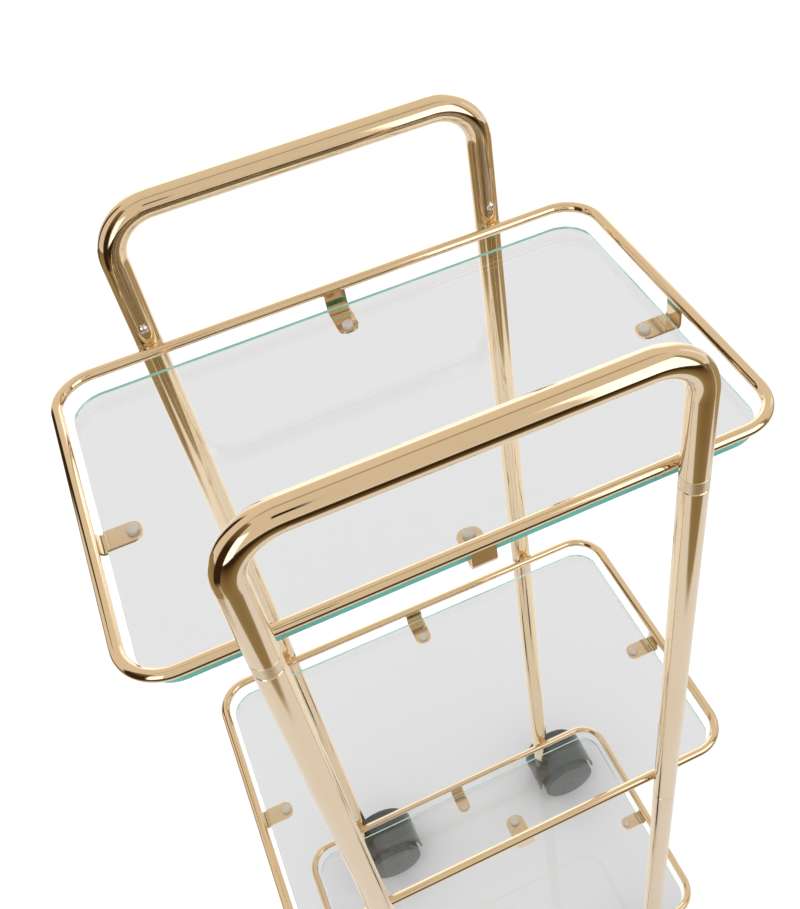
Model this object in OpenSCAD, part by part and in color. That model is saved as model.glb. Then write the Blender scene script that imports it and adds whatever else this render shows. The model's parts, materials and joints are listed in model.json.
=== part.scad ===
// Three-tier bar cart: two bent tube handles, plugged tube posts, rod gallery
// rings that carry glass shelves on clips, and four hooded twin-wheel casters.
// Origin on the floor at the middle of the cart, X along the handles, Z up.

/* [Frame tubes] */
// Outer diameter of the handle and post tubes
tube_d = 16; // [14:0.5:19]
// Wall of the handle and post tubes
tube_wall = 1.2; // [0.8:0.1:1.5]
// Distance between the left and right post axes
post_span_x = 223.4; // [180:0.2:260]
// Centreline radius of the handle bends
handle_bend_r = 29; // [24:1:40]
// Height of the handle bar axis above the top ring axis
handle_rise = 87.3; // [60:0.1:120]

/* [Gallery rings] */
// Diameter of the ring rod
rod_d = 6.8; // [5:0.1:8]
// Ring length between rod axes
ring_x = 346.2; // [300:0.2:420]
// Ring depth between rod axes
ring_y = 219.7; // [190:0.1:260]
// Centreline radius of the ring corners
ring_corner_r = 24; // [20:1:30]
// Height of the bottom ring axis above the floor
bottom_ring_z = 119; // [115:1:150]
// Height from one ring axis to the next
tier_pitch = 358; // [250:1:420]
// Gap between ring rod and post that the weld fills
weld_gap = 0.35; // [0.1:0.05:0.6]

/* [Tube joints] */
// Top of the top joint's collar above its ring axis
collar_up = 2; // [0:0.5:4]
// Joint line of the top and middle joints below their ring axis
collar_down = 7; // [5:0.5:9]
// Length of each spigot inside a tube
spigot_len = 24; // [20:1:30]
// Height of the handle screws above the ring axis
screw_rise = 15; // [10:0.5:18]
// Diameter of the handle screw heads
screw_head_d = 5.4; // [4:0.1:6]
// Diameter of the handle screw shanks
screw_shank_d = 3; // [2:0.1:4]
// Diameter of the set screws in the middle joints
set_screw_d = 4; // [3:0.5:5]
// Depth of the set screws below the ring axis
set_screw_drop = 4; // [3:0.5:4.5]
// Angle round the post from the ring to a set screw
set_screw_turn = 60; // [45:5:90]

/* [Glass shelves] */
// Length of a glass shelf
glass_x = 335.6; // [290:0.2:410]
// Depth of a glass shelf
glass_y = 211; // [180:0.5:250]
// Thickness of a glass shelf
glass_t = 4; // [3:0.5:6]
// Corner radius of a glass shelf
glass_corner_r = 20; // [12:1:28]
// Depth of the glass top below its ring axis
glass_drop = 11.6; // [9:0.1:15]

/* [Shelf clips] */
// Width of a clip strip
clip_w = 13.6; // [10:0.2:18]
// Thickness of a clip strip
clip_t = 1.5; // [1:0.1:2]
// Reach of a clip from the rod axis towards the glass
clip_reach = 24.4; // [20:0.2:30]
// Inner radius of the clip bend
clip_bend_r = 3; // [2:0.5:4]
// Distance from the rod axis to the bumper axis
bumper_reach = 19.4; // [16:0.2:22]
// Diameter of a clear bumper
bumper_d = 6.9; // [5:0.1:8]
// Height of a clear bumper
bumper_h = 2.85; // [2:0.05:3.5]
// Offset along X of the clips on the long sides
clip_shift_x = 2; // [-10:0.5:10]
// Offset along Y of the clips on the short sides
clip_shift_y = -3.5; // [-10:0.5:10]

/* [Casters] */
// Diameter of a caster wheel
wheel_d = 60; // [50:1:62]
// Horizontal distance from swivel axis to wheel axle
caster_trail = 22; // [20:0.5:24]
// Outer radius of the hood
hood_r = 35; // [34:0.5:37]
// Width of the hood
hood_w = 40; // [34:1:44]
// Overall width over both wheels
caster_w = 57.8; // [52:0.2:60]
// Height of the lower end of the posts above the floor
post_foot_z = 71; // [70:0.5:76]

/* [Hidden] */
$fn = 96;
tube_r = tube_d / 2;
bore_r = tube_r - tube_wall;
rod_r = rod_d / 2;
spigot_play = 0.05;
half_x = ring_x / 2;
half_y = ring_y / 2;
post_x = post_span_x / 2;
post_y = half_y + rod_r + weld_gap + tube_r;
ring_z = [for (i = [0:2]) bottom_ring_z + i * tier_pitch];
bar_z = ring_z[2] + handle_rise;
glass_under = -glass_drop - glass_t;
bumper_play = 0.05;
tab_top = glass_under - bumper_play - bumper_h;
spigot_r = bore_r - spigot_play;
spigot_lead = 1;
edge_break = 0.4;
tube_chamfer = 0.5;
screw_play = 0.1;
wheel_r = wheel_d / 2;
axle_z = wheel_r;
axle_r = 3;
web_half = 7.6;
wheel_in = web_half + 0.6;
wheel_out = caster_w / 2;
wheel_edge_r = 2;
wheel_wall = 3.2;
hub_r = 7.5;
hub_web = 6;
axle_pocket = 7;
dome_rise = 1.2;
hood_wall = 2;
hood_skirt = 2.3;
stem_r = 4;
stem_fit = 0.06;
axle_fit = 0.05;
press_fit = 0.02;
long = 40;
hexagon_h = 3.6;
neck_gap = 0.4;
flange_bottom = post_foot_z - hexagon_h;
neck_top = flange_bottom - neck_gap;
socket_len = 24;
stem_grip = 21;
stem_foot = axle_z + 10;
hexagon_r = 7;
catch_r = 4.7;
catch_h = 2;
catch_play = 0.35;
neck_r = web_half - 0.05;
neck_floor = 4;
gold = [0.86, 0.68, 0.40];

TIERS = ["bottom", "middle", "top"];
SIDES = [-1, 1];
CORNERS = [for (sy = SIDES) for (sx = SIDES) [sx, sy]];
function corner_name(c) = str(c[1] < 0 ? "front" : "back", "_", c[0] < 0 ? "left" : "right");
CASTER_PARTS = ["stem", "hood", "axle", "wheel_front", "wheel_back"];

// ---------- frame ----------

module tube_section() {
    difference() {
        circle(r = tube_r);
        circle(r = bore_r);
    }
}

// Places its child on a post axis at height z, turned so that -Y points at the ring
module at_post(c, z) {
    translate([c[0] * post_x, c[1] * post_y, z])
        rotate([0, 0, c[1] > 0 ? 0 : 180]) children();
}

// Turns a post's child from the ring towards the inner side of the cart
module at_set_screw(c) {
    rotate([0, 0, -c[0] * c[1] * set_screw_turn]) children();
}

// Radial screw hole from the tube axis outwards along -Y
module screw_hole(d) {
    rotate([90, 0, 0]) cylinder(d = d + screw_play, h = tube_r + 1);
}

// Inverted U of bent tube with its bar along X and its screw holes facing -Y
module bent_handle() {
    corner_x = post_x - handle_bend_r;
    corner_z = bar_z - handle_bend_r;
    leg_z = ring_z[2] + collar_up;
    color(gold)
    difference() {
        union() {
            translate([-corner_x, 0, bar_z]) rotate([90, 0, 90])
                linear_extrude(2 * corner_x) tube_section();
            for (side = [0, 1]) mirror([side, 0, 0]) {
                translate([post_x, 0, leg_z])
                    linear_extrude(corner_z - leg_z) tube_section();
                translate([corner_x, 0, corner_z]) rotate([90, 0, 0])
                    rotate_extrude(angle = 90) translate([handle_bend_r, 0]) tube_section();
            }
        }
        for (sx = SIDES)
            translate([sx * post_x, 0, ring_z[2] + screw_rise]) screw_hole(screw_shank_d);
    }
}

module handle_back() {
    translate([0, post_y, 0]) bent_handle();
}

module handle_front() {
    mirror([0, 1, 0]) handle_back();
}

// Closed rod ring with rounded corners
module gallery_ring(tier) {
    run_x = half_x - ring_corner_r;
    run_y = half_y - ring_corner_r;
    color(gold)
    translate([0, 0, ring_z[tier]])
    for (side = [0, 1]) mirror([side, 0, 0]) {
        translate([half_x, run_y, 0]) rotate([90, 0, 0]) cylinder(r = rod_r, h = 2 * run_y);
        for (end = [0, 1]) mirror([0, end, 0]) {
            translate([run_x, run_y, 0])
                rotate_extrude(angle = 90) translate([ring_corner_r, 0]) circle(r = rod_r);
            translate([0, half_y, 0]) rotate([0, 90, 0]) cylinder(r = rod_r, h = run_x);
        }
    }
}

// Straight tube on a post axis with chamfered ends, which show as a groove at a joint
module post_tube(c, z_low, z_high) {
    length = z_high - z_low;
    at_post(c, z_low) rotate_extrude() polygon([
        [bore_r, 0],
        [tube_r - tube_chamfer, 0],
        [tube_r, tube_chamfer],
        [tube_r, length - tube_chamfer],
        [tube_r - tube_chamfer, length],
        [bore_r, length]
    ]);
}

// Tube from the middle joint line to the top collar, with the middle ring welded on
module upper_post(c) {
    color(gold)
    difference() {
        post_tube(c, ring_z[1] - collar_down, ring_z[2] - collar_down);
        at_post(c, ring_z[1] - set_screw_drop) at_set_screw(c) screw_hole(set_screw_d);
    }
}

// Tube from the caster to the middle joint line
module lower_post(c) {
    color(gold)
    post_tube(c, post_foot_z, ring_z[1] - collar_down);
}

// Solid plug: a spigot up, a visible collar that the ring is welded to, a spigot down
module collar_plug() {
    difference() {
        rotate_extrude() polygon([
            [0, -collar_down - spigot_len],
            [spigot_r - spigot_lead, -collar_down - spigot_len],
            [spigot_r, -collar_down - spigot_len + spigot_lead],
            [spigot_r, -collar_down],
            [tube_r - edge_break, -collar_down],
            [tube_r, -collar_down + edge_break],
            [tube_r, collar_up - edge_break],
            [tube_r - edge_break, collar_up],
            [spigot_r, collar_up],
            [spigot_r, collar_up + spigot_len - spigot_lead],
            [spigot_r - spigot_lead, collar_up + spigot_len],
            [0, collar_up + spigot_len]
        ]);
        translate([0, 0, screw_rise]) screw_hole(screw_shank_d);
    }
}

module collar_plugs_top() {
    color(gold)
    for (c = CORNERS) at_post(c, ring_z[2]) collar_plug();
}

// Plain plug hidden across the middle joint line
module post_plug(c) {
    difference() {
        rotate_extrude() for (end = [0, 1]) mirror([0, end]) polygon([
            [0, 0],
            [spigot_r, 0],
            [spigot_r, spigot_len - spigot_lead],
            [spigot_r - spigot_lead, spigot_len],
            [0, spigot_len]
        ]);
        translate([0, 0, collar_down - set_screw_drop]) at_set_screw(c)
            screw_hole(set_screw_d);
    }
}

module post_plugs_middle() {
    color("silver")
    for (c = CORNERS) at_post(c, ring_z[1] - collar_down) post_plug(c);
}

// Pan-head machine screw along -Y with a cross recess
module pan_screw() {
    head_h = 1.9;
    crown_r = screw_head_d * 0.75;
    recess_w = 0.8;
    recess_l = 3;
    recess_h = 1.1;
    shank_start = 1;
    rotate([90, 0, 0]) {
        translate([0, 0, shank_start]) cylinder(d = screw_shank_d, h = tube_r - shank_start);
        difference() {
            translate([0, 0, tube_r]) intersection() {
                cylinder(d = screw_head_d, h = head_h);
                translate([0, 0, head_h - crown_r]) sphere(r = crown_r);
            }
            for (turn = [0, 90])
                translate([0, 0, tube_r + head_h]) rotate([0, 0, turn])
                    cube([recess_l, recess_w, 2 * recess_h], center = true);
        }
    }
}

module handle_screws() {
    color("gainsboro")
    for (c = CORNERS) at_post(c, ring_z[2] + screw_rise) pan_screw();
}

// Headless screw flush with the tube, with a hexagon socket
module set_screw() {
    flush = tube_r - 0.1;
    tip = flush - 4.9;
    socket_depth = 2;
    socket_d = set_screw_d * 0.58;
    rotate([90, 0, 0]) difference() {
        translate([0, 0, tip]) cylinder(d = set_screw_d, h = flush - tip);
        translate([0, 0, flush - socket_depth])
            cylinder(d = socket_d, h = socket_depth + 1, $fn = 6);
    }
}

module set_screws() {
    color("gainsboro")
    for (c = CORNERS) at_post(c, ring_z[1] - set_screw_drop) at_set_screw(c) set_screw();
}

// Weld fillet between a ring and a post: a round-ended bead cut back to the metal
module weld_bead() {
    bead_r = 2.9;
    bead_len = 7;
    end_r = 1.8;
    color([0.80, 0.58, 0.28])
    difference() {
        rotate([0, 90, 0]) rotate_extrude() for (end = [0, 1]) mirror([0, end]) {
            square([bead_r, bead_len / 2 - end_r]);
            square([bead_r - end_r, bead_len / 2]);
            translate([bead_r - end_r, bead_len / 2 - end_r]) intersection() {
                circle(r = end_r);
                square(end_r);
            }
        }
        translate([0, tube_r + weld_gap / 2, 0]) cylinder(r = tube_r, h = long, center = true);
        translate([0, -rod_r - weld_gap / 2, 0]) rotate([0, 90, 0])
            cylinder(r = rod_r, h = long, center = true);
    }
}

module weld_beads(tier) {
    for (c = CORNERS)
        translate([c[0] * post_x, c[1] * (half_y + rod_r + weld_gap / 2), ring_z[tier]])
            rotate([0, 0, c[1] > 0 ? 0 : 180]) weld_bead();
}

// Bored plug that holds a caster stem in the foot of a post
module caster_sockets() {
    color("darkgray")
    for (c = CORNERS) at_post(c, post_foot_z) difference() {
        cylinder(r = spigot_r, h = socket_len);
        translate([0, 0, -1]) cylinder(r = stem_r + press_fit, h = socket_len + 2);
    }
}

// ---------- shelves ----------

module rounded_plate(x, y, r) {
    square([x - 2 * r, y], center = true);
    square([x, y - 2 * r], center = true);
    for (sx = SIDES) for (sy = SIDES)
        translate([sx * (x / 2 - r), sy * (y / 2 - r)]) circle(r = r);
}

module glass_shelf(tier) {
    color([0.75, 0.88, 0.86, 0.5])
    translate([0, 0, ring_z[tier] + glass_under])
        linear_extrude(glass_t) rounded_plate(glass_x, glass_y, glass_corner_r);
}

// Places its child at the rod axis of the four clip positions, +X towards the glass
module at_clips(tier) {
    translate([0, 0, ring_z[tier]]) {
        translate([clip_shift_x, half_y, 0]) rotate([0, 0, -90]) children();
        translate([clip_shift_x, -half_y, 0]) rotate([0, 0, 90]) children();
        translate([half_x, clip_shift_y, 0]) rotate([0, 0, 180]) children();
        translate([-half_x, clip_shift_y, 0]) children();
    }
}

// Flat tab of a clip seen from above, with a rounded tip
module clip_tab_outline(start) {
    tip_r = 6;
    flat = clip_w / 2 - tip_r;
    translate([start, -clip_w / 2]) square([clip_reach - tip_r - start, clip_w]);
    translate([start, -flat]) square([clip_reach - start, 2 * flat]);
    for (sy = SIDES) translate([clip_reach - tip_r, sy * flat]) circle(r = tip_r);
}

// Bent strip: plate hanging from the rod, a round bend and a tab under the glass
module clip() {
    bend_x = clip_t / 2 + clip_bend_r;
    bend_z = tab_top + clip_bend_r;
    root_top = 1 - rod_r;
    color(gold)
    difference() {
        union() {
            translate([-clip_t / 2, -clip_w / 2, bend_z])
                cube([clip_t, clip_w, root_top - bend_z]);
            translate([bend_x, clip_w / 2, bend_z]) rotate([90, 0, 0])
                rotate([0, 0, 180]) linear_extrude(clip_w) intersection() {
                    difference() {
                        circle(r = clip_bend_r + clip_t);
                        circle(r = clip_bend_r);
                    }
                    square(clip_bend_r + clip_t);
                }
            translate([0, 0, tab_top - clip_t]) linear_extrude(clip_t) clip_tab_outline(bend_x);
        }
        rotate([90, 0, 0]) cylinder(r = rod_r, h = long, center = true);
    }
}

module shelf_clips(tier) {
    at_clips(tier) clip();
}

// Clear dome-edged bumper between a clip tab and the glass
module bumper() {
    round_r = 1.2;
    r = bumper_d / 2;
    color([0.92, 0.92, 0.90, 0.6])
    translate([bumper_reach, 0, tab_top]) rotate_extrude() {
        square([r - round_r, bumper_h]);
        square([r, bumper_h - round_r]);
        translate([r - round_r, bumper_h - round_r]) intersection() {
            circle(r = round_r);
            square(round_r);
        }
    }
}

module shelf_bumpers(tier) {
    at_clips(tier) bumper();
}

// ---------- casters ----------

// Threaded stem with a hexagon and a catch bead, centred on its swivel axis
module caster_stem() {
    color("silver") {
        translate([0, 0, flange_bottom]) {
            cylinder(r = hexagon_r, h = post_foot_z - flange_bottom, $fn = 6);
            cylinder(r = stem_r, h = post_foot_z - flange_bottom + stem_grip);
        }
        translate([0, 0, stem_foot]) cylinder(r = stem_r, h = flange_bottom - stem_foot);
        translate([0, 0, stem_foot + catch_h]) cylinder(r = catch_r, h = catch_h);
    }
}

// Web between the two wheels seen from the side, around the axle and the stem socket
module hood_web_outline() {
    inner = hood_r - hood_wall / 2;
    boss_r = 8.5;
    circle(r = boss_r);
    intersection() {
        circle(r = inner);
        polygon([
            [-inner, -hood_skirt],
            [-inner, inner],
            [boss_r / 2, inner],
            [boss_r, 0],
            [0, -boss_r],
            [-caster_trail + stem_r, -boss_r]
        ]);
    }
}

// Half-round cover over both wheels with the web and the stem socket
module caster_hood() {
    color([0.22, 0.22, 0.24])
    difference() {
        union() {
            translate([caster_trail, hood_w / 2, axle_z]) rotate([90, 0, 0])
                linear_extrude(hood_w) intersection() {
                    difference() {
                        circle(r = hood_r);
                        circle(r = hood_r - hood_wall);
                    }
                    translate([-hood_r, -hood_skirt]) square([2 * hood_r, hood_r + hood_skirt]);
                }
            translate([caster_trail, web_half, axle_z]) rotate([90, 0, 0])
                linear_extrude(2 * web_half) hood_web_outline();
            translate([0, 0, stem_foot - neck_floor])
                cylinder(r = neck_r, h = neck_top - stem_foot + neck_floor);
        }
        translate([0, 0, stem_foot - 1])
            cylinder(r = stem_r + stem_fit, h = neck_top - stem_foot + 2);
        translate([0, 0, stem_foot + catch_h - catch_play])
            cylinder(r = catch_r + catch_play, h = catch_h + 2 * catch_play);
        translate([caster_trail, 0, axle_z]) rotate([90, 0, 0])
            cylinder(r = axle_r + press_fit, h = long + hood_w, center = true);
    }
}

module caster_axle() {
    axle_len = 2 * (wheel_out - axle_pocket - 0.5);
    color("silver")
    translate([caster_trail, axle_len / 2, axle_z]) rotate([90, 0, 0])
        cylinder(r = axle_r, h = axle_len);
}

// Half section of one wheel: rim, domed outer face and blind hub
module wheel_section() {
    rim_in = wheel_r - wheel_wall;
    shoulder = wheel_out - dome_rise - wheel_edge_r;
    dome_span = wheel_r - wheel_edge_r;
    dome_r = (dome_span * dome_span + dome_rise * dome_rise) / (2 * dome_rise);
    difference() {
        union() {
            translate([0, wheel_in]) square([wheel_r, shoulder - wheel_in]);
            translate([wheel_r - wheel_edge_r, shoulder]) intersection() {
                circle(r = wheel_edge_r);
                square(wheel_edge_r);
            }
            intersection() {
                translate([0, shoulder]) square([dome_span, wheel_out - shoulder]);
                translate([0, wheel_out - dome_r]) circle(r = dome_r, $fn = 360);
            }
        }
        translate([hub_r, wheel_in - 1])
            square([rim_in - hub_r, wheel_out - hub_web + 1 - wheel_in]);
        translate([-1, wheel_in - 1])
            square([axle_r + axle_fit + 1, wheel_out - axle_pocket + 1 - wheel_in]);
    }
}

module caster_wheel(side) {
    color([0.20, 0.20, 0.22])
    translate([caster_trail, 0, axle_z]) rotate([-90 * side, 0, 0])
        rotate_extrude() wheel_section();
}

module caster_part(c, part) {
    translate([c[0] * post_x, c[1] * post_y, 0]) {
        if (part == "stem") caster_stem();
        if (part == "hood") caster_hood();
        if (part == "axle") caster_axle();
        if (part == "wheel_front") caster_wheel(-1);
        if (part == "wheel_back") caster_wheel(1);
    }
}

// ---------- nodes ----------

handle_front();
handle_back();
for (c = CORNERS) {
    upper_post(c);
    lower_post(c);
}
collar_plugs_top();
post_plugs_middle();
caster_sockets();
handle_screws();
set_screws();
for (i = [0:2]) {
    gallery_ring(i);
    weld_beads(i);
    shelf_clips(i);
    shelf_bumpers(i);
    glass_shelf(i);
}
for (c = CORNERS) for (p = CASTER_PARTS) {
    caster_part(c, p);
}
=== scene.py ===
import json
import math

import bpy
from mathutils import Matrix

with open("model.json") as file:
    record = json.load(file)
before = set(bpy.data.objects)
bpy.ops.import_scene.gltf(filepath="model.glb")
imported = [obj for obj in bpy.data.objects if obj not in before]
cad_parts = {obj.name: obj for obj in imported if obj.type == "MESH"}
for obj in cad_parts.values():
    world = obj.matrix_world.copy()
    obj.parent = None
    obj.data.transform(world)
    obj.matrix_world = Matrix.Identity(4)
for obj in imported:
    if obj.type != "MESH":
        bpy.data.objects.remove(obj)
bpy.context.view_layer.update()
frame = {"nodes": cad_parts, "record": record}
nodes = frame["nodes"]
scene = bpy.context.scene

# ---------- camera ----------

CAMERA_PLACE = (-0.0922, -0.3993, 1.2382)
CAMERA_TURN_DEGREES = (41.693, 6.313, -23.512)
SENSOR_MM = 36.0
LENS_MM = 41.72
SHIFT_X = -0.0548
SHIFT_Y = -0.0011
NEAREST = 0.01
FARTHEST = 50.0


def make_camera():
    """A camera above the front left of the cart, looking down past its handles, with a slight roll."""
    data = bpy.data.cameras.new("camera")
    data.sensor_width = SENSOR_MM
    data.lens = LENS_MM
    data.shift_x = SHIFT_X
    data.shift_y = SHIFT_Y
    data.clip_start = NEAREST
    data.clip_end = FARTHEST
    camera = bpy.data.objects.new("camera", data)
    scene.collection.objects.link(camera)
    camera.location = CAMERA_PLACE
    camera.rotation_euler = [math.radians(turn) for turn in CAMERA_TURN_DEGREES]
    scene.camera = camera


# ---------- node helpers ----------

def node_tree(name):
    """A new material with only its output node, and its tree."""
    material = bpy.data.materials.new(name)
    material.use_nodes = True
    tree = material.node_tree
    for node in list(tree.nodes):
        if node.type != "OUTPUT_MATERIAL":
            tree.nodes.remove(node)
    return material, tree


def add(tree, kind, **settings):
    """A node of that kind, with its properties and its unlinked input sockets set by name."""
    node = tree.nodes.new(kind)
    for name, value in settings.items():
        if hasattr(node, name):
            setattr(node, name, value)
        else:
            node.inputs[name.replace("_", " ")].default_value = value
    return node


def principled(tree, **settings):
    """A Principled shader linked to the material's output. Settings name its sockets."""
    shader = tree.nodes.new("ShaderNodeBsdfPrincipled")
    for name, value in settings.items():
        shader.inputs[name.replace("_", " ")].default_value = value
    output = next(n for n in tree.nodes if n.type == "OUTPUT_MATERIAL")
    tree.links.new(shader.outputs["BSDF"], output.inputs["Surface"])
    return shader


def coordinates(tree):
    """Object coordinates in metres."""
    return add(tree, "ShaderNodeTexCoord").outputs["Object"]


def noise(tree, vector, scale, detail=3.0, roughness=0.5):
    """A noise value from 0 to 1 at that many cells per metre."""
    node = add(tree, "ShaderNodeTexNoise")
    node.inputs["Scale"].default_value = scale
    node.inputs["Detail"].default_value = detail
    node.inputs["Roughness"].default_value = roughness
    tree.links.new(vector, node.inputs["Vector"])
    return node.outputs["Fac"]


def remap(tree, value, low, high, new_low, new_high):
    """value moved from low..high to new_low..new_high, clamped."""
    node = add(tree, "ShaderNodeMapRange")
    node.inputs["From Min"].default_value = low
    node.inputs["From Max"].default_value = high
    node.inputs["To Min"].default_value = new_low
    node.inputs["To Max"].default_value = new_high
    tree.links.new(value, node.inputs["Value"])
    return node.outputs["Result"]


def blend_colours(tree, factor, first, second):
    """first where factor is 0 and second where it is 1. Each is a colour or a socket."""
    node = add(tree, "ShaderNodeMix", data_type="RGBA")
    sockets = [s for s in node.inputs if s.type == "RGBA"]
    for socket, colour in zip(sockets, (first, second)):
        if isinstance(colour, bpy.types.NodeSocket):
            tree.links.new(colour, socket)
        else:
            socket.default_value = (*colour, 1.0)
    tree.links.new(factor, node.inputs["Factor"])
    return next(s for s in node.outputs if s.type == "RGBA")


def bump(tree, shader, height, distance):
    """A bump of that height in metres on the shader."""
    node = add(tree, "ShaderNodeBump")
    node.inputs["Strength"].default_value = 1.0
    node.inputs["Distance"].default_value = distance
    tree.links.new(height, node.inputs["Height"])
    tree.links.new(node.outputs["Normal"], shader.inputs["Normal"])


# ---------- materials ----------

COOL = (0.76, 0.88, 1.0, 1.0)
PLASTIC_IOR = 1.5
GLASS_IOR = 1.52
SILICONE_IOR = 1.41

FACE_TINT = (0.930, 0.938, 0.947)
EDGE_GREEN = (0.15, 0.60, 0.51)
EDGE_PALE = (0.25, 0.74, 0.66)
EDGE_CLEARNESS = 0.35
EDGE_ROUGHNESS = 0.16
SMEAR_ROUGHNESS = 0.03
ARRIS = 0.0010
ARRIS_ANGLE = 60.0

SILICONE_DEEP = (0.58, 0.51, 0.42)
SILICONE_PALE = (0.72, 0.66, 0.57)
SILICONE_CLEARNESS = 0.2


def gold(name, colour, deep, gloss, dull, ripple):
    """Gold-toned plating: clouded tone, a haze that varies, and a faint draw ripple in the tube."""
    material, tree = node_tree(name)
    shader = principled(tree, Metallic=1.0)
    place = coordinates(tree)
    tone = blend_colours(tree, remap(tree, noise(tree, place, 9.0), 0.3, 0.7, 0, 1), colour, deep)
    tree.links.new(tone, shader.inputs["Base Color"])
    haze = noise(tree, place, 60.0, 6.0, 0.65)
    tree.links.new(remap(tree, haze, 0.35, 0.75, gloss, dull), shader.inputs["Roughness"])
    bump(tree, shader, noise(tree, place, 45.0, 2.0), ripple)
    return material


def steel(name, colour, gloss, dull, grain):
    """Plated or turned steel with fine grain."""
    material, tree = node_tree(name)
    shader = principled(tree, Metallic=1.0)
    place = coordinates(tree)
    darker = tuple(0.8 * c for c in colour)
    tone = blend_colours(tree, noise(tree, place, 300.0, 4.0), darker, colour)
    tree.links.new(tone, shader.inputs["Base Color"])
    tree.links.new(
        remap(tree, noise(tree, place, 900.0, 4.0), 0.3, 0.7, gloss, dull), shader.inputs["Roughness"]
    )
    bump(tree, shader, noise(tree, place, 1500.0, 3.0), grain)
    return material


def plastic(name, colour, worn, gloss, dull, grain):
    """Moulded plastic: dusty scuffs on a gloss face with a faint moulding texture."""
    material, tree = node_tree(name)
    shader = principled(tree, IOR=PLASTIC_IOR, Specular_Tint=COOL)
    place = coordinates(tree)
    scuffs = remap(tree, noise(tree, place, 70.0, 8.0, 0.7), 0.52, 0.72, 0, 1)
    tree.links.new(blend_colours(tree, scuffs, colour, worn), shader.inputs["Base Color"])
    tree.links.new(remap(tree, scuffs, 0, 1, gloss, dull), shader.inputs["Roughness"])
    bump(tree, shader, noise(tree, place, 1400.0, 3.0), grain)
    return material


def shelf_glass():
    """Clear glass whose ground edge shows green. Its face and edge differ by the local normal."""
    material, tree = node_tree("shelf_glass")
    shader = principled(tree, IOR=GLASS_IOR, Specular_Tint=COOL)
    source = add(tree, "ShaderNodeTexCoord")
    parts = add(tree, "ShaderNodeSeparateXYZ")
    tree.links.new(source.outputs["Normal"], parts.inputs["Vector"])
    level = add(tree, "ShaderNodeMath", operation="ABSOLUTE")
    tree.links.new(parts.outputs["Z"], level.inputs[0])
    face = remap(tree, level.outputs["Value"], 0.3, 0.7, 0, 1)
    place = coordinates(tree)
    edge = blend_colours(tree, noise(tree, place, 40.0), EDGE_GREEN, EDGE_PALE)
    tree.links.new(blend_colours(tree, face, edge, FACE_TINT), shader.inputs["Base Color"])
    tree.links.new(
        remap(tree, face, 0, 1, EDGE_CLEARNESS, 1.0), shader.inputs["Transmission Weight"]
    )
    smears = remap(tree, noise(tree, place, 25.0, 5.0, 0.6), 0.45, 0.8, 0.0, SMEAR_ROUGHNESS)
    rough = add(tree, "ShaderNodeMix", data_type="FLOAT")
    tree.links.new(face, rough.inputs["Factor"])
    rough.inputs["A"].default_value = EDGE_ROUGHNESS
    tree.links.new(smears, rough.inputs["B"])
    tree.links.new(rough.outputs["Result"], shader.inputs["Roughness"])
    return material


def clear_bumper():
    """Clear silicone with a slight cloud."""
    material, tree = node_tree("clear_bumper")
    shader = principled(tree, IOR=SILICONE_IOR, Transmission_Weight=SILICONE_CLEARNESS)
    place = coordinates(tree)
    cloud = noise(tree, place, 400.0, 3.0)
    tree.links.new(
        blend_colours(tree, cloud, SILICONE_DEEP, SILICONE_PALE), shader.inputs["Base Color"]
    )
    tree.links.new(remap(tree, cloud, 0.3, 0.7, 0.04, 0.12), shader.inputs["Roughness"])
    return material


CHAMPAGNE = (0.81, 0.66, 0.48)
DEEP_GOLD = (0.80, 0.635, 0.445)

MATERIALS = {
    "gold_metal": lambda: gold("gold_metal", CHAMPAGNE, DEEP_GOLD, 0.05, 0.11, 0.00002),
    "gold_collar": lambda: gold("gold_collar", (0.80, 0.68, 0.51), CHAMPAGNE, 0.22, 0.32, 0.00002),
    "gold_clip": lambda: gold("gold_clip", (0.80, 0.62, 0.41), DEEP_GOLD, 0.08, 0.16, 0.00003),
    "gold_weld": lambda: gold("gold_weld", (0.82, 0.55, 0.25), (0.66, 0.38, 0.13), 0.10, 0.28, 0.0006),
    "plug_steel": lambda: steel("plug_steel", (0.62, 0.61, 0.60), 0.28, 0.42, 0.00002),
    "screw_steel": lambda: steel("screw_steel", (0.80, 0.79, 0.78), 0.14, 0.26, 0.00001),
    "caster_steel": lambda: steel("caster_steel", (0.66, 0.66, 0.67), 0.22, 0.36, 0.00002),
    "socket_plastic": lambda: plastic(
        "socket_plastic", (0.025, 0.025, 0.027), (0.05, 0.05, 0.05), 0.40, 0.55, 0.00002
    ),
    "hood_plastic": lambda: plastic(
        "hood_plastic", (0.018, 0.019, 0.021), (0.035, 0.035, 0.037), 0.16, 0.34, 0.00001
    ),
    "wheel_plastic": lambda: plastic(
        "wheel_plastic", (0.016, 0.017, 0.019), (0.04, 0.04, 0.042), 0.20, 0.40, 0.00001
    ),
    "shelf_glass": shelf_glass,
    "clear_bumper": clear_bumper,
}


def dress_nodes():
    """Gives each CAD node the material of its slot, and eases the edges of the glass."""
    made = {slot: make() for slot, make in MATERIALS.items()}
    for part in frame["record"]["subparts"]:
        piece = nodes[part["node"]]
        piece.data.materials.clear()
        piece.data.materials.append(made[part["material_slot"]])
        if part["material_slot"] == "shelf_glass":
            piece.visible_diffuse = False
            piece.visible_shadow = False
            arris = piece.modifiers.new("arris", "BEVEL")
            arris.width = ARRIS
            arris.segments = 2
            arris.limit_method = "ANGLE"
            arris.angle_limit = math.radians(ARRIS_ANGLE)


# ---------- studio ----------

FLOOR_REACH = 8.0
CARD_HEIGHT = 0.004

FLOOR_SEEN = (0.97, 0.97, 0.97)
FLOOR_BESIDE = (0.75, 0.75, 0.752)
# Painted shade: the floor seen through the glass is darker, standing in for the shade the glass and
# cart would cast on it.
FLOOR_PAINTED_SHADE_THROUGH_GLASS = (0.697, 0.700, 0.708)
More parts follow.
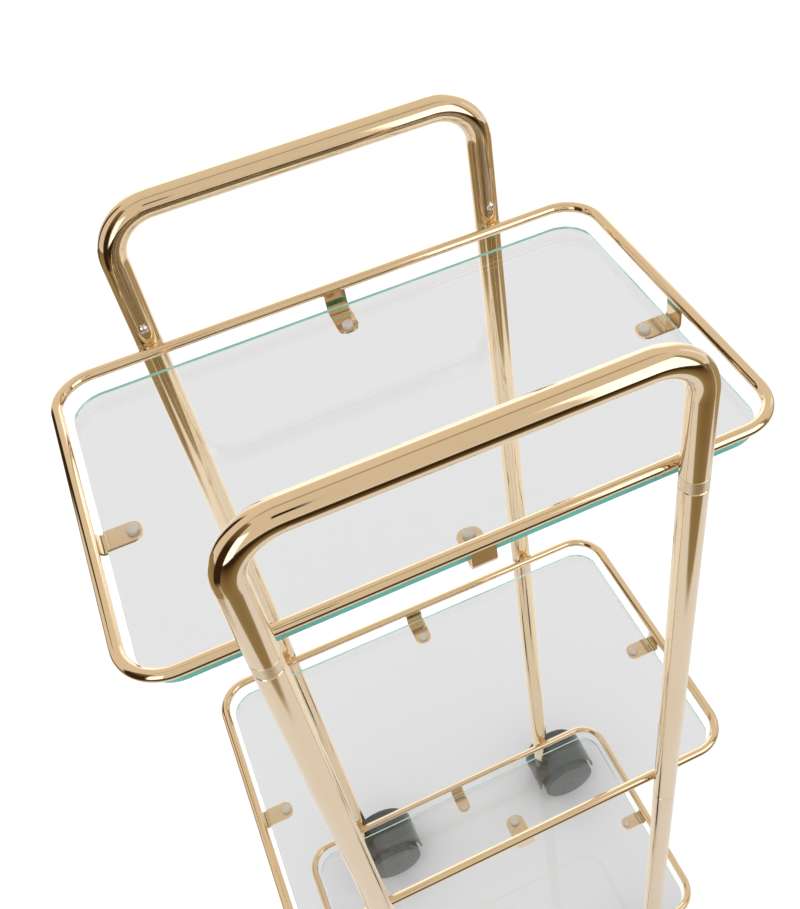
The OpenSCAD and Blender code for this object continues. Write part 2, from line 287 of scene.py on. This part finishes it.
# Painted reflection: where reflections behind the glass see the floor, it is brighter and warmer,
# lighting up what the posts behind the glass mirror.
FLOOR_PAINTED_REFLECTION_BEHIND_GLASS = (0.92, 0.91, 0.85)

DOME_LOW = (1.1, 1.1, 1.11)
DOME_HIGH = (1.25, 1.25, 1.25)
ROOM_FRONT = (0.79, 0.72, 0.59)
ROOM_BACK = (0.855, 0.765, 0.625)

WHITE = (1.0, 0.99, 0.97)
BLACK = (0.02, 0.01, 0.004)
DARK = (0.039, 0.021, 0.008)
BROWN = (0.151, 0.096, 0.040)
UMBER = (0.273, 0.194, 0.086)
TAN = (0.358, 0.276, 0.140)
SAND = (0.42, 0.33, 0.18)
OCHRE = (0.46, 0.37, 0.25)
PALE = (0.741, 0.677, 0.546)


def panel(name, corners, material):
    """A flat four-sided panel that isn't part of the cart."""
    mesh = bpy.data.meshes.new(name)
    mesh.from_pydata(corners, [], [(0, 1, 2, 3)])
    unwrapped = mesh.uv_layers.new(name="card")
    for corner, place in zip(unwrapped.data, ((0, 0), (1, 0), (1, 1), (0, 1))):
        corner.uv = place
    mesh.materials.append(material)
    piece = bpy.data.objects.new(name, mesh)
    scene.collection.objects.link(piece)
    return piece


def after_reflection(tree):
    """1 for light that has met a mirror-like surface on its way to the camera, and 0 for the rest."""
    path = add(tree, "ShaderNodeLightPath")
    mirrored = remap(tree, path.outputs["Glossy Depth"], 0.0, 1.0, 0, 1)
    direct = remap(tree, path.outputs["Diffuse Depth"], 0.0, 1.0, 1, 0)
    both = add(tree, "ShaderNodeMath", operation="MULTIPLY")
    tree.links.new(mirrored, both.inputs[0])
    tree.links.new(direct, both.inputs[1])
    return both.outputs["Value"]


def pale_floor():
    """A pale matt floor that looks whiter when seen directly, as on a product picture. Seen through the
    glass it carries painted shade, and in reflections behind the glass it carries a painted reflection.
    """
    material, tree = node_tree("floor")
    shader = principled(tree, Roughness=0.9)
    shader.inputs["Specular IOR Level"].default_value = 0.0
    path = add(tree, "ShaderNodeLightPath")
    through_glass = remap(tree, path.outputs["Transmission Depth"], 0.0, 1.0, 0, 1)
    # Painted shade through the glass, turning to a brighter warm painted reflection where the path has
    # also met a mirror-like surface.
    glass_shade_and_reflection = blend_colours(
        tree, after_reflection(tree), FLOOR_PAINTED_SHADE_THROUGH_GLASS, FLOOR_PAINTED_REFLECTION_BEHIND_GLASS
    )
    shaded = blend_colours(tree, through_glass, FLOOR_BESIDE, glass_shade_and_reflection)
    tree.links.new(
        blend_colours(tree, path.outputs["Is Camera Ray"], shaded, FLOOR_SEEN),
        shader.inputs["Base Color"],
    )
    return material


def shades(tree, value, stops):
    """A colour that runs through the stops, each a place from 0 to 1 and a colour, as value does."""
    node = add(tree, "ShaderNodeValToRGB")
    ramp = node.color_ramp
    while len(ramp.elements) < len(stops):
        ramp.elements.new(1.0)
    for element, (place, colour) in zip(ramp.elements, stops):
        element.position = place
        element.color = (*colour, 1.0)
    tree.links.new(value, node.inputs["Fac"])
    return node.outputs["Color"]


def card(name, stops, corners, soft_x, soft_y, strength=1.0):
    """A soft-edged panel in the room that only reflections see.

    Its colour runs through stops from the first two corners to the last two. The soft values are
    the faded share of its width and height at each edge.
    """
    material, tree = node_tree(name)
    place = add(tree, "ShaderNodeUVMap", uv_map="card")
    parts = add(tree, "ShaderNodeSeparateXYZ")
    tree.links.new(place.outputs["UV"], parts.inputs["Vector"])
    light = add(tree, "ShaderNodeEmission")
    light.inputs["Strength"].default_value = strength
    tree.links.new(shades(tree, parts.outputs["Y"], stops), light.inputs["Color"])
    clear = add(tree, "ShaderNodeBsdfTransparent")
    cover = after_reflection(tree)
    for side, soft in (("X", soft_x), ("Y", soft_y)):
        for near, far in ((0.0, soft), (1.0, 1.0 - soft)):
            fade = remap(tree, parts.outputs[side], near, far, 0, 1)
            product = add(tree, "ShaderNodeMath", operation="MULTIPLY")
            tree.links.new(cover, product.inputs[0])
            tree.links.new(fade, product.inputs[1])
            cover = product.outputs["Value"]
    mixed = add(tree, "ShaderNodeMixShader")
    tree.links.new(cover, mixed.inputs["Fac"])
    tree.links.new(clear.outputs["BSDF"], mixed.inputs[1])
    tree.links.new(light.outputs["Emission"], mixed.inputs[2])
    output = next(n for n in tree.nodes if n.type == "OUTPUT_MATERIAL")
    tree.links.new(mixed.outputs["Shader"], output.inputs["Surface"])
    piece = panel(name, corners, material)
    piece.visible_camera = False
    piece.visible_diffuse = False
    piece.visible_shadow = False


def make_world():
    """An even dome for light, and a warm room for reflections."""
    world = bpy.data.worlds.new("studio")
    scene.world = world
    world.use_nodes = True
    tree = world.node_tree
    tree.nodes.clear()
    source = add(tree, "ShaderNodeTexCoord")
    parts = add(tree, "ShaderNodeSeparateXYZ")
    tree.links.new(source.outputs["Generated"], parts.inputs["Vector"])
    backwards = remap(tree, parts.outputs["Y"], -0.3, 0.3, 0, 1)
    room = blend_colours(tree, backwards, ROOM_FRONT, ROOM_BACK)
    upwards = remap(tree, parts.outputs["Z"], 0.0, 1.0, 0, 1)
    dome = blend_colours(tree, upwards, DOME_LOW, DOME_HIGH)
    background = add(tree, "ShaderNodeBackground")
    tree.links.new(
        blend_colours(tree, after_reflection(tree), dome, room), background.inputs["Color"]
    )
    output = add(tree, "ShaderNodeOutputWorld")
    tree.links.new(background.outputs["Background"], output.inputs["Surface"])


def upright(name, stops, start, end, low, high, soft_x, soft_y, strength=1.0):
    """A card that stands over the line from start to end, with its stops running upwards."""
    corners = [(*start, low), (*end, low), (*end, high), (*start, high)]
    card(name, stops, corners, soft_x, soft_y, strength)


def lying(name, stops, corners, soft_x, soft_y, strength=1.0):
    """A card just above the floor."""
    card(name, stops, [(x, y, CARD_HEIGHT) for x, y in corners], soft_x, soft_y, strength)


def make_studio():
    """Floor, reflection cards, light and tone."""
    reach = FLOOR_REACH
    corners = [(-reach, -reach, 0), (reach, -reach, 0), (reach, reach, 0), (-reach, reach, 0)]
    panel("floor", corners, pale_floor())
    lying(
        "floor_front",
        [(0.0, PALE), (0.2, TAN), (0.42, DARK), (0.72, DARK), (0.84, BROWN), (0.93, UMBER), (1.0, TAN)],
        [(-4.0, -4.6), (4.5, -4.6), (4.5, -0.60), (-4.0, -0.60)], 0.05, 0.012,
    )
    lying(
        "floor_left", [(0.0, UMBER), (1.0, TAN)],
        [(-4.5, 2.6), (-4.5, -0.62), (-0.74, -0.62), (-0.74, 1.9)], 0.03, 0.03,
    )
    lying(
        "floor_right", [(0.0, SAND), (1.0, SAND)],
        [(0.84, 1.0), (0.84, -0.62), (3.6, -0.62), (3.6, 1.2)], 0.08, 0.03,
    )
    lying(
        "floor_back", [(0.0, WHITE), (1.0, WHITE)],
        [(-0.7, 0.6), (2.2, 0.6), (2.2, 3.0), (-0.7, 3.0)], 0.15, 0.15, 1.2,
    )
    upright(
        "wall_back", [(0.0, WHITE), (1.0, WHITE)], (-0.85, 1.9), (2.2, 1.5), 0.05, 2.0, 0.27, 0.25, 1.7
    )
    upright(
        "panel_right", [(0.0, WHITE), (1.0, WHITE)],
        (0.24, -0.70), (0.84, -0.55), 0.74, 1.42, 0.04, 0.04, 2.0,
    )
    upright(
        "panel_left", [(0.0, WHITE), (1.0, WHITE)],
        (-0.70, -0.465), (-0.50, -0.68), 0.75, 1.28, 0.06, 0.04, 2.0,
    )
    upright(
        "panel_side", [(0.0, WHITE), (1.0, WHITE)],
        (0.94, -0.04), (0.96, 0.16), 0.70, 1.42, 0.3, 0.15, 1.1,
    )
    upright(
        "dark_front", [(0.0, DARK), (0.75, DARK), (1.0, UMBER)],
        (-1.7, -1.7), (1.0, -1.7), 0.0, 0.56, 0.1, 0.06,
    )
    upright(
        "dark_left", [(0.0, DARK), (0.5, DARK), (0.66, BROWN), (1.0, UMBER)],
        (-1.20, 0.03), (-1.05, -0.72), 0.05, 2.4, 0.12, 0.08,
    )
    upright(
        "dark_stand", [(0.0, UMBER), (0.2, DARK), (0.75, DARK), (1.0, BROWN)],
        (-0.63, 0.437), (-0.466, 0.555), 0.50, 1.52, 0.2, 0.08,
    )
    upright(
        "dark_right", [(0.0, UMBER), (1.0, SAND)],
        (0.90, -0.60), (0.99, -0.40), 0.50, 1.60, 0.25, 0.1,
    )
    card(
        "boom", [(0.0, OCHRE), (1.0, OCHRE)],
        [(-0.7, -0.16, 1.52), (0.7, -0.18, 1.52), (0.7, -0.03, 1.52), (-0.7, -0.04, 1.52)], 0.3, 0.4,
    )
    card(
        "lens", [(0.0, BLACK), (1.0, BLACK)],
        [(-0.15, -0.43, 1.14), (-0.05, -0.43, 1.14), (-0.05, -0.37, 1.21), (-0.15, -0.37, 1.21)],
        0.08, 0.12,
    )
    make_world()
    scene.view_settings.view_transform = "Standard"


make_camera()
dress_nodes()
make_studio()
